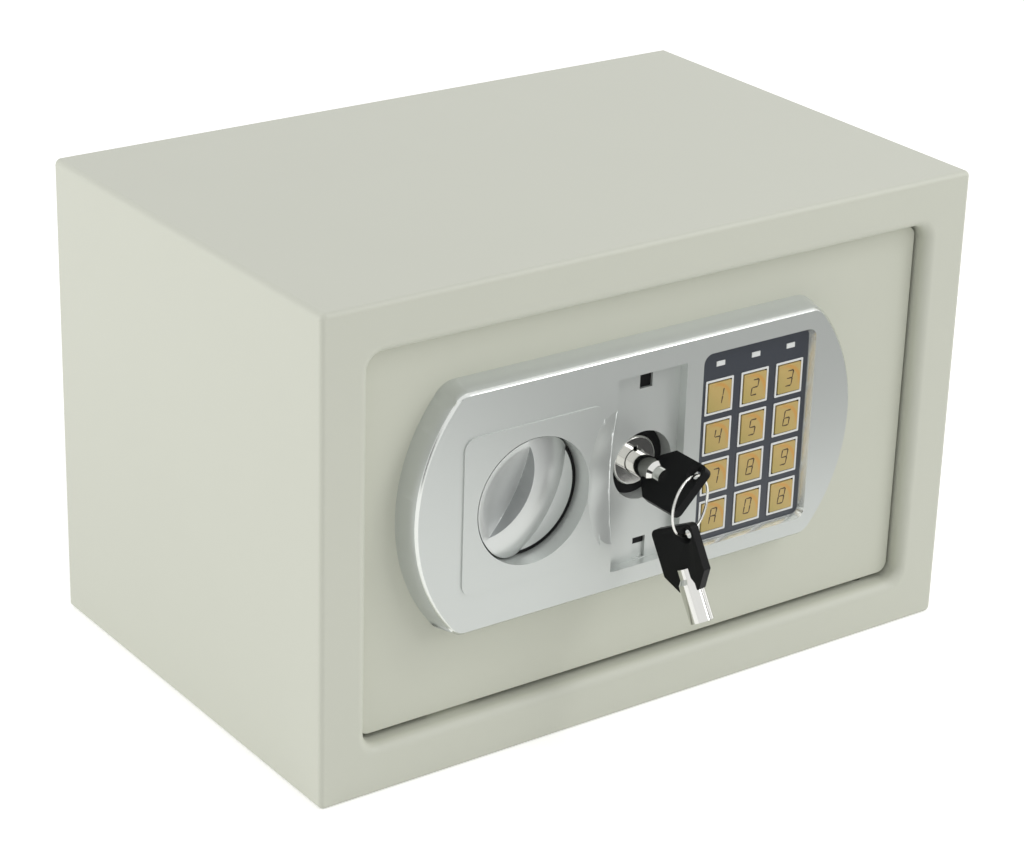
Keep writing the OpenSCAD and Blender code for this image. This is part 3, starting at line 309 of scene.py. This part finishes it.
keyLook = {
    "plain": (196, 170, 106),
    "warm": (206, 158, 84),
    "cool": (176, 160, 94),
    "middle": (45.2, 0.0, 112.4),  # millimetres, the middle of one key
    "pitch": (17.8, 17.2),  # from key to key, across and up
    "ring": 6.8,
    "ringWidth": 1.1,
    "ringShift": (1.8, 1.6),  # how far the ring's middle lies left of and below the key's
    "blend": 260.0,  # per metre, how fast the tints come in from one corner to the other
    "coolSlope": -0.5,
    "coolMost": 0.6,
    "wrap": 100.5,  # pitches, so that no key lies below zero and each one's middle is at a half
    "skin": {"Grain": 2600.0, "Mottle": 0.08, "Roughness": 0.34, "Spread": 0.06, "Depth": 0.000004},
}


def makeKeyGroup():
    # one key face, repeated over the pad: green gold low on the left, orange along a ring high on the right
    group, start, end = newGroup("keyFace", [
        ("Vector", "Vector", None), ("Color", "Color", None),
        ("Warm", "Color", None), ("Cool", "Color", None),
        ("Pitch X", "Float", keyLook["pitch"][0] * mm), ("Pitch Z", "Float", keyLook["pitch"][1] * mm),
        ("Ring", "Float", keyLook["ring"] * mm), ("Width", "Float", keyLook["ringWidth"] * mm)],
        [("Color", "Color")])
    given = start.outputs
    parts = group.nodes.new("ShaderNodeSeparateXYZ")
    group.links.new(given["Vector"], parts.inputs[0])
    flat = []
    for axis, pitch in (("X", "Pitch X"), ("Z", "Pitch Z")):
        turns = addMath(group, "DIVIDE", parts.outputs[axis], given[pitch])
        wrapped = addMath(group, "FRACT", addMath(group, "ADD", turns, keyLook["wrap"]), 0.0)
        flat.append(addMath(group, "MULTIPLY", addMath(group, "SUBTRACT", wrapped, 0.5), given[pitch]))
    shifts = [shift * mm for shift in keyLook["ringShift"]]
    across, up = (addMath(group, "ADD", value, shift) for value, shift in zip(flat, shifts))
    squares = [addMath(group, "MULTIPLY", value, value) for value in (across, up)]
    reach = addMath(group, "SQRT", addMath(group, "ADD", *squares), 0.0)
    off = addMath(group, "ABSOLUTE", addMath(group, "SUBTRACT", reach, given["Ring"]), 0.0)
    ring = addMath(group, "SUBTRACT", 1.0, addMath(group, "DIVIDE", off, given["Width"]))
    side = addMath(group, "MULTIPLY", addMath(group, "ADD", *flat), keyLook["blend"])
    onRing = addMath(group, "MAXIMUM", ring, 0.0)
    warmth = addMath(group, "MULTIPLY", onRing, addMath(group, "MAXIMUM", side, 0.0))
    far = addMath(group, "MAXIMUM", addMath(group, "MULTIPLY", side, keyLook["coolSlope"]), 0.0)
    coolness = addMath(group, "MULTIPLY", far, keyLook["coolMost"])
    current = given["Color"]
    for amount, label in ((coolness, "Cool"), (warmth, "Warm")):
        mix = group.nodes.new("ShaderNodeMix")
        mix.data_type = "RGBA"
        group.links.new(addMath(group, "MINIMUM", amount, 1.0), mix.inputs["Factor"])
        group.links.new(current, mix.inputs[6])
        group.links.new(given[label], mix.inputs[7])
        current = mix.outputs[2]
    group.links.new(current, end.inputs["Color"])
    return group


skinGroup = makeSkinGroup()
brushGroup = makeBrushGroup()
keyGroup = makeKeyGroup()
print("surface effects made")


def newMaterial(name):
    material = bpy.data.materials.new(name)
    material.use_nodes = True
    tree = material.node_tree
    shader = tree.nodes["Principled BSDF"]
    place = tree.nodes.new("ShaderNodeTexCoord")
    return material, tree, shader, place.outputs["Object"]


def addGroup(tree, group, vector, color, values):
    node = tree.nodes.new("ShaderNodeGroup")
    node.node_tree = group
    tree.links.new(vector, node.inputs["Vector"])
    node.inputs["Color"].default_value = (*linear(*color), 1.0)
    for label, value in values.items():
        node.inputs[label].default_value = value
    return node


def finishShader(tree, shader, node, look):
    tree.links.new(node.outputs["Color"], shader.inputs["Base Color"])
    tree.links.new(node.outputs["Roughness"], shader.inputs["Roughness"])
    tree.links.new(node.outputs["Normal"], shader.inputs["Normal"])
    for label, value in look.items():
        shader.inputs[label].default_value = value


def skinMaterial(name, color, skin, look):
    material, tree, shader, vector = newMaterial(name)
    finishShader(tree, shader, addGroup(tree, skinGroup, vector, color, skin), look)
    return material


def brushMaterial(name, color, lines, look):
    material, tree, shader, vector = newMaterial(name)
    finishShader(tree, shader, addGroup(tree, brushGroup, vector, color, lines), look)
    return material


def keyMaterial(name):
    material, tree, shader, vector = newMaterial(name)
    place = tree.nodes.new("ShaderNodeMapping")
    place.inputs["Location"].default_value = tuple(-value * mm for value in keyLook["middle"])
    tree.links.new(vector, place.inputs["Vector"])
    face = tree.nodes.new("ShaderNodeGroup")
    face.node_tree = keyGroup
    tree.links.new(place.outputs[0], face.inputs["Vector"])
    for label, color in (("Color", "plain"), ("Warm", "warm"), ("Cool", "cool")):
        face.inputs[label].default_value = (*linear(*keyLook[color]), 1.0)
    skin = addGroup(tree, skinGroup, vector, keyLook["plain"], keyLook["skin"])
    tree.links.new(face.outputs["Color"], skin.inputs["Color"])
    finishShader(tree, shader, skin, {})
    return material


paintSkin = {"Grain": 1400.0, "Mottle": 0.02, "Roughness": 0.42, "Spread": 0.06, "Depth": 0.000012}
paintLook = {"Specular IOR Level": 0.4}
finishes = {
    "body_paint": skinMaterial("bodyPaint", (208, 210, 197), paintSkin, paintLook),
    "door_paint": skinMaterial("doorPaint", (206, 208, 194), paintSkin, paintLook),
    "silver_plastic": skinMaterial("silverPlastic", (203, 207, 204),
        {"Grain": 3500.0, "Mottle": 0.02, "Roughness": 0.34, "Spread": 0.06, "Depth": 0.000003},
        {"Metallic": 0.45}),
    "panel_film": skinMaterial("slateFilm", (62, 66, 74),
        {"Grain": 2600.0, "Mottle": 0.05, "Roughness": 0.34, "Spread": 0.05, "Depth": 0.000004}, {}),
    "white_plastic": skinMaterial("whitePrint", (228, 230, 229),
        {"Grain": 2600.0, "Mottle": 0.02, "Roughness": 0.35, "Spread": 0.05, "Depth": 0.000003}, {}),
    "key_gold": keyMaterial("goldKey"),
    "nickel": skinMaterial("nickelPlate", (222, 222, 218),
        {"Grain": 700.0, "Mottle": 0.04, "Roughness": 0.09, "Spread": 0.05, "Depth": 0.000002},
        {"Metallic": 1.0}),
    "brass": brushMaterial("turnedBrass", (196, 164, 96),
        {"Stretch": (2000.0, 60.0, 2000.0), "Shade": 0.2, "Roughness": 0.25}, {"Metallic": 1.0}),
    "zinc": brushMaterial("zincPlate", (178, 178, 168),
        {"Stretch": (120.0, 120.0, 1500.0), "Shade": 0.25, "Roughness": 0.34, "Spread": 0.2},
        {"Metallic": 1.0}),
    "steel_pin": brushMaterial("groundSteel", (196, 197, 196),
        {"Stretch": (60.0, 1600.0, 1600.0), "Shade": 0.12, "Roughness": 0.2, "Spread": 0.15},
        {"Metallic": 1.0}),
    "black_plastic": skinMaterial("blackPlastic", (13, 14, 15),
        {"Grain": 2600.0, "Mottle": 0.1, "Roughness": 0.42, "Spread": 0.08, "Depth": 0.000006},
        {"Specular IOR Level": 0.15}),
    "felt": skinMaterial("darkFelt", (62, 62, 66),
        {"Grain": 2600.0, "Mottle": 0.3, "Roughness": 0.95, "Spread": 0.05, "Depth": 0.0006},
        {"Sheen Weight": 0.4}),
    "board": skinMaterial("circuitBoard", (38, 98, 62),
        {"Grain": 700.0, "Mottle": 0.15, "Roughness": 0.4, "Spread": 0.1, "Depth": 0.00001}, {}),
    "ribbon": brushMaterial("ribbonCable", (168, 168, 164),
        {"Stretch": (1600.0, 5.0, 5.0), "Shade": 0.4, "Roughness": 0.5}, {}),
    "copper": brushMaterial("copperWinding", (150, 76, 36),
        {"Stretch": (5.0, 5.0, 4500.0), "Shade": 0.5, "Roughness": 0.3}, {"Metallic": 0.7}),
    "cell": skinMaterial("cellWrap", (96, 102, 112),
        {"Grain": 900.0, "Mottle": 0.05, "Roughness": 0.3, "Spread": 0.05, "Depth": 0.000004},
        {"Metallic": 0.5}),
    "red_plastic": skinMaterial("redPlastic", (178, 38, 28),
        {"Grain": 2600.0, "Mottle": 0.05, "Roughness": 0.3, "Spread": 0.05, "Depth": 0.000004}, {}),
}
trims = {
    "knobSilver": skinMaterial("knobSilver", (212, 215, 213),
        {"Grain": 3500.0, "Mottle": 0.02, "Roughness": 0.34, "Spread": 0.05, "Depth": 0.000003},
        {"Metallic": 0.65}),
    # painted shade: a darker copy of the knob's silver, for the grip's steep side
    "knobWallShade": skinMaterial("knobWallShade", (152, 155, 155),
        {"Grain": 3500.0, "Mottle": 0.03, "Roughness": 0.42, "Spread": 0.05, "Depth": 0.000003},
        {"Metallic": 0.5}),
    # painted highlight: a lighter, glossier copy of the fascia's silver, for its narrow bevels
    "silverEdgeHighlight": skinMaterial("silverEdgeHighlight", (226, 229, 225),
        {"Grain": 3500.0, "Mottle": 0.02, "Roughness": 0.2, "Spread": 0.05, "Depth": 0.000002},
        {"Metallic": 0.85}),
    "digitInk": skinMaterial("digitInk", (70, 52, 36),
        {"Grain": 2600.0, "Mottle": 0.05, "Roughness": 0.45, "Spread": 0.05, "Depth": 0.000002}, {}),
}
for name, node in nodes.items():
    node.data.materials.clear()
    node.data.materials.append(finishes[slotOf[name]])
print("finishes made:", len(finishes) + len(trims))


shading = {
    "flatArea": 2.0,  # square millimetres, the least of a flat front
    "flatFacing": -0.99999,
    "flatAngle": 3.0,  # degrees, as the angles below
    "smoothAngle": 30.0,
    "mergeAngle": 0.5,
    "bevelAngle": 35.0,
    "mergeDistance": 0.002,  # millimetres
}


def sharpenFlats(mesh):
    # a flat front keeps its own shading up to the border of a hollow or slope beside it
    least = shading["flatArea"] * mm * mm
    flat = [face.area > least and face.normal.y < shading["flatFacing"] for face in mesh.polygons]
    sides = {}
    for index, face in enumerate(mesh.polygons):
        for loop in face.loop_indices:
            sides.setdefault(mesh.loops[loop].edge_index, []).append(index)
    for edge, pair in sides.items():
        if len(pair) == 2 and flat[pair[0]] != flat[pair[1]]:
            normals = [mesh.polygons[index].normal for index in pair]
            if normals[0].angle(normals[1], 0.0) > math.radians(shading["flatAngle"]):
                mesh.edges[edge].use_edge_sharp = True


def addPiece(name, shape, material, body):
    mesh = newMesh(name, shape)
    for face in mesh.polygons:
        face.use_smooth = True
    mesh.set_sharp_from_angle(angle=math.radians(shading["smoothAngle"]))
    sharpenFlats(mesh)
    mesh.materials.append(material)
    piece = newObject(name, mesh)
    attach(piece, body)
    return piece


def mergedCopy(name):
    # a node's solids with their loose triangles joined and flat faces whole again
    shape = bmesh.new()
    shape.from_mesh(nodes[name].data)
    bmesh.ops.remove_doubles(shape, verts=shape.verts, dist=shading["mergeDistance"] * mm)
    angle = math.radians(shading["mergeAngle"])
    bmesh.ops.dissolve_limit(shape, angle_limit=angle, verts=shape.verts, edges=shape.edges)
    return shape


def soften(name, width, segments=2):
    # stands for a node, with its sharp edges rounded
    piece = addPiece(name + "Edged", mergedCopy(name), finishes[slotOf[name]], bodyOf[name])
    bevel = piece.modifiers.new("edges", "BEVEL")
    bevel.width = width * mm
    bevel.segments = segments
    bevel.limit_method = "ANGLE"
    bevel.angle_limit = math.radians(shading["bevelAngle"])
    bevel.use_clamp_overlap = True
    bevel.harden_normals = True
    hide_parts(name)
    return piece


def ringShape(inner, outer, thickness, steps=96):
    # a flat ring about the Y axis, its front at y 0
    shape = bmesh.new()
    for radius in (outer, inner):
        bmesh.ops.create_circle(shape, segments=steps, radius=radius)
    bmesh.ops.bridge_loops(shape, edges=shape.edges)
    pushed = bmesh.ops.extrude_face_region(shape, geom=shape.faces[:])
    raised = [item for item in pushed["geom"] if isinstance(item, bmesh.types.BMVert)]
    bmesh.ops.translate(shape, verts=raised, vec=(0, 0, -thickness))
    bmesh.ops.recalc_face_normals(shape, faces=shape.faces)
    bmesh.ops.rotate(shape, verts=shape.verts, matrix=Matrix.Rotation(math.pi / 2, 3, "X"))
    return shape


digitLook = {  # millimetres
    "width": 2.9,
    "height": 6.4,
    "stroke": 0.56,
    "slant": 9.0,  # degrees
    "ink": 0.03,
    "gap": 0.06,
}
barsOf = {
    "1": "bc", "2": "abged", "3": "abgcd", "4": "fgbc", "5": "afgcd", "6": "afgedc",
    "7": "abc", "8": "abcdefg", "9": "gfabcd", "a": "efabcg", "0": "abcdef", "b": "abcdefg",
}


def addBar(shape, middle, upright, length):
    # one stroke with pointed ends
    radius = digitLook["stroke"] / 2 / math.sin(math.pi / 3)
    made = bmesh.ops.create_circle(shape, cap_ends=True, segments=6, radius=radius)
    half = length / 2 - digitLook["gap"] - radius
    for vert in made["verts"]:
        vert.co.x += math.copysign(half, vert.co.x)
    if upright:
        bmesh.ops.rotate(shape, verts=made["verts"], matrix=Matrix.Rotation(math.pi / 2, 3, "Z"))
    bmesh.ops.translate(shape, verts=made["verts"], vec=(middle[0], middle[1], 0))


def printDigit(key):
    low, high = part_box("key_" + key)
    halfW = digitLook["width"] / 2
    halfH = digitLook["height"] / 2
    bars = {
        "a": ((0, halfH), False), "g": ((0, 0), False), "d": ((0, -halfH), False),
        "f": ((-halfW, halfH / 2), True), "b": ((halfW, halfH / 2), True),
        "e": ((-halfW, -halfH / 2), True), "c": ((halfW, -halfH / 2), True),
    }
    shape = bmesh.new()
    for bar in barsOf[key]:
        middle, upright = bars[bar]
        addBar(shape, middle, upright, halfH if upright else digitLook["width"])
    for vert in shape.verts:
        vert.co.x += vert.co.y * math.tan(math.radians(digitLook["slant"]))
    made = bmesh.ops.extrude_face_region(shape, geom=shape.faces[:])
    raised = [item for item in made["geom"] if isinstance(item, bmesh.types.BMVert)]
    bmesh.ops.translate(shape, verts=raised, vec=(0, 0, digitLook["ink"]))
    bmesh.ops.recalc_face_normals(shape, faces=shape.faces)
    turn = Matrix.Rotation(math.pi / 2, 4, "X")
    place = Matrix.Translation(((low.x + high.x) / 2, low.y, (low.z + high.z) / 2))
    bmesh.ops.transform(shape, matrix=place @ turn @ Matrix.Scale(mm, 4), verts=shape.verts)
    addPiece("digit_" + key, shape, trims["digitInk"], "button_" + key)


for key in barsOf:
    printDigit(key)
print("digits printed:", len(barsOf))


# a black ring of painted shade deep in the gap round the knob
knobGap = {  # millimetres
    "middle": (-63.4, 108.0),  # x and z
    "front": -96.05,
    "inner": 24.2,
    "outer": 25.55,
    "thickness": 0.4,
}
# a black ring of painted shade in the lock's well, between its flange and wall
wellGap = {  # millimetres
    "middle": (-8.2, 108.0),
    "front": -93.3,
    "inner": 10.3,
    "outer": 14.1,
    "thickness": 0.28,
}


def makeShadeRing(name, values, body):
    # a flat black ring that paints the shade deep in a gap
    shape = ringShape(values["inner"], values["outer"], values["thickness"])
    x, z = values["middle"]
    place = Matrix.Translation((x * mm, values["front"] * mm, z * mm))
    bmesh.ops.transform(shape, matrix=place @ Matrix.Scale(mm, 4), verts=shape.verts)
    addPiece(name, shape, finishes["black_plastic"], body)


grip = {
    "toward": (-0.883, 0.0, 0.469),  # the way the grip's steep side faces
    "facing": 0.3,  # how much of a face's normal points that way, at least
    "steep": -0.6,  # the least y of its normal
    "reach": 25.2,  # millimetres from the knob's axis
}


def shadeGrip(piece):
    # the steep side of the grip, under its bright edge, gets a darker silver than the rest: painted shade,
    # also a little rougher and less metallic
    piece.data.materials.append(trims["knobWallShade"])
    x, z = knobGap["middle"]
    toward = Vector(grip["toward"])
    for face in piece.data.polygons:
        inside = math.hypot(face.center.x - x * mm, face.center.z - z * mm) < grip["reach"] * mm
        if inside and face.normal.y > grip["steep"] and face.normal.dot(toward) > grip["facing"]:
            face.material_index = 1


# black backs of painted shade behind the fascia's clip slots
slotShade = {  # millimetres
    "depth": (-98.5, -98.2),  # y of front and back
    "places": {  # x, z, width, height
        "upperSlotBack": (-8.2, 144.3, 6.0, 7.5),
        "lowerSlotBack": (-8.2, 75.5, 6.0, 3.1),
    },
}


def makeSlotShade(name, x, z, width, height):
    # a thin black block that paints the shade behind a slot
    shape = bmesh.new()
    bmesh.ops.create_cube(shape, size=1.0)
    front, back = slotShade["depth"]
    place = Matrix.Translation((x * mm, (front + back) / 2 * mm, z * mm))
    size = Matrix.Diagonal((width * mm, (back - front) * mm, height * mm, 1.0))
    bmesh.ops.transform(shape, matrix=place @ size, verts=shape.verts)
    addPiece(name, shape, finishes["black_plastic"], "door")


# where the fascia's bevel faces with the painted highlight lie
bevelHighlight = {  # millimetres
    "from": -102.9,  # y in front of which the outer bevel's faces are
    "middle": (-11.0, 108.8),
    "reach": (88.0, 45.5),  # the bevel lies further out than one of these
    "window": (45.2, 108.3, 29.5, 42.5),  # x, z, half width, half height
    "windowFrom": -101.2,
    "slope": (-0.9, -0.3),  # the y of the faces' normals
}


def highlightBevel(piece):
    # the narrow bevels round the fascia's front and the keypad window get a lighter silver than its face: a
    # painted highlight, with real gloss from a lower roughness and more metal
    piece.data.materials.append(trims["silverEdgeHighlight"])
    middleX, middleZ = bevelHighlight["middle"]
    reachX, reachZ = bevelHighlight["reach"]
    windowX, windowZ, windowW, windowH = bevelHighlight["window"]
    least, most = bevelHighlight["slope"]
    for face in piece.data.polygons:
        x, y, z = (value / mm for value in face.center)
        if not least < face.normal.y < most:
            continue
        outer = y < bevelHighlight["from"] and (abs(x - middleX) > reachX or abs(z - middleZ) > reachZ)
        window = y < bevelHighlight["windowFrom"] and abs(x - windowX) < windowW and abs(z - windowZ) < windowH
        if outer or window:
            face.material_index = 1


# black rings of painted shade in the knob's gap and the lock's well
makeShadeRing("knobGapShade", knobGap, "turn_knob")
makeShadeRing("lockWellShade", wellGap, "door")
# black backs of painted shade behind the clip slots
for name, values in slotShade["places"].items():
    makeSlotShade(name, *values)
print("gaps and slots backed:", len(slotShade["places"]) + 2)


edgeWidths = {  # millimetres
    "door_plate": 0.5, "fascia": 0.25, "keypad_panel": 0.15, "key_frames": 0.1, "key_bow": 0.5,
    "spare_key_bow": 0.5, "lock_body": 0.2, "inner_cover": 0.3, "battery_cover": 0.3, "reset_button": 0.3,
    "knob": 0.2, "hinge_brackets": 0.4, "hinge_knuckles": 0.3, "door_stops": 0.3, "locking_bolts": 0.3,
    "indicator_lenses": 0.1,
}
keyEdge = 0.25
edgeWidths.update({"key_" + key: keyEdge for key in barsOf})
for name, width in edgeWidths.items():
    piece = soften(name, width)
    if name == "fascia":
        highlightBevel(piece)
    if name == "knob":
        piece.data.materials[0] = trims["knobSilver"]
        shadeGrip(piece)
print("edges rounded:", len(edgeWidths))


matLook = {
    "flat": (0.303, 0.1755),  # metres, as cut
    "edge": 0.7,  # millimetres
    "steps": 3,
}
mat = soften("floor_mat", matLook["edge"], matLook["steps"])
print("mat laid")
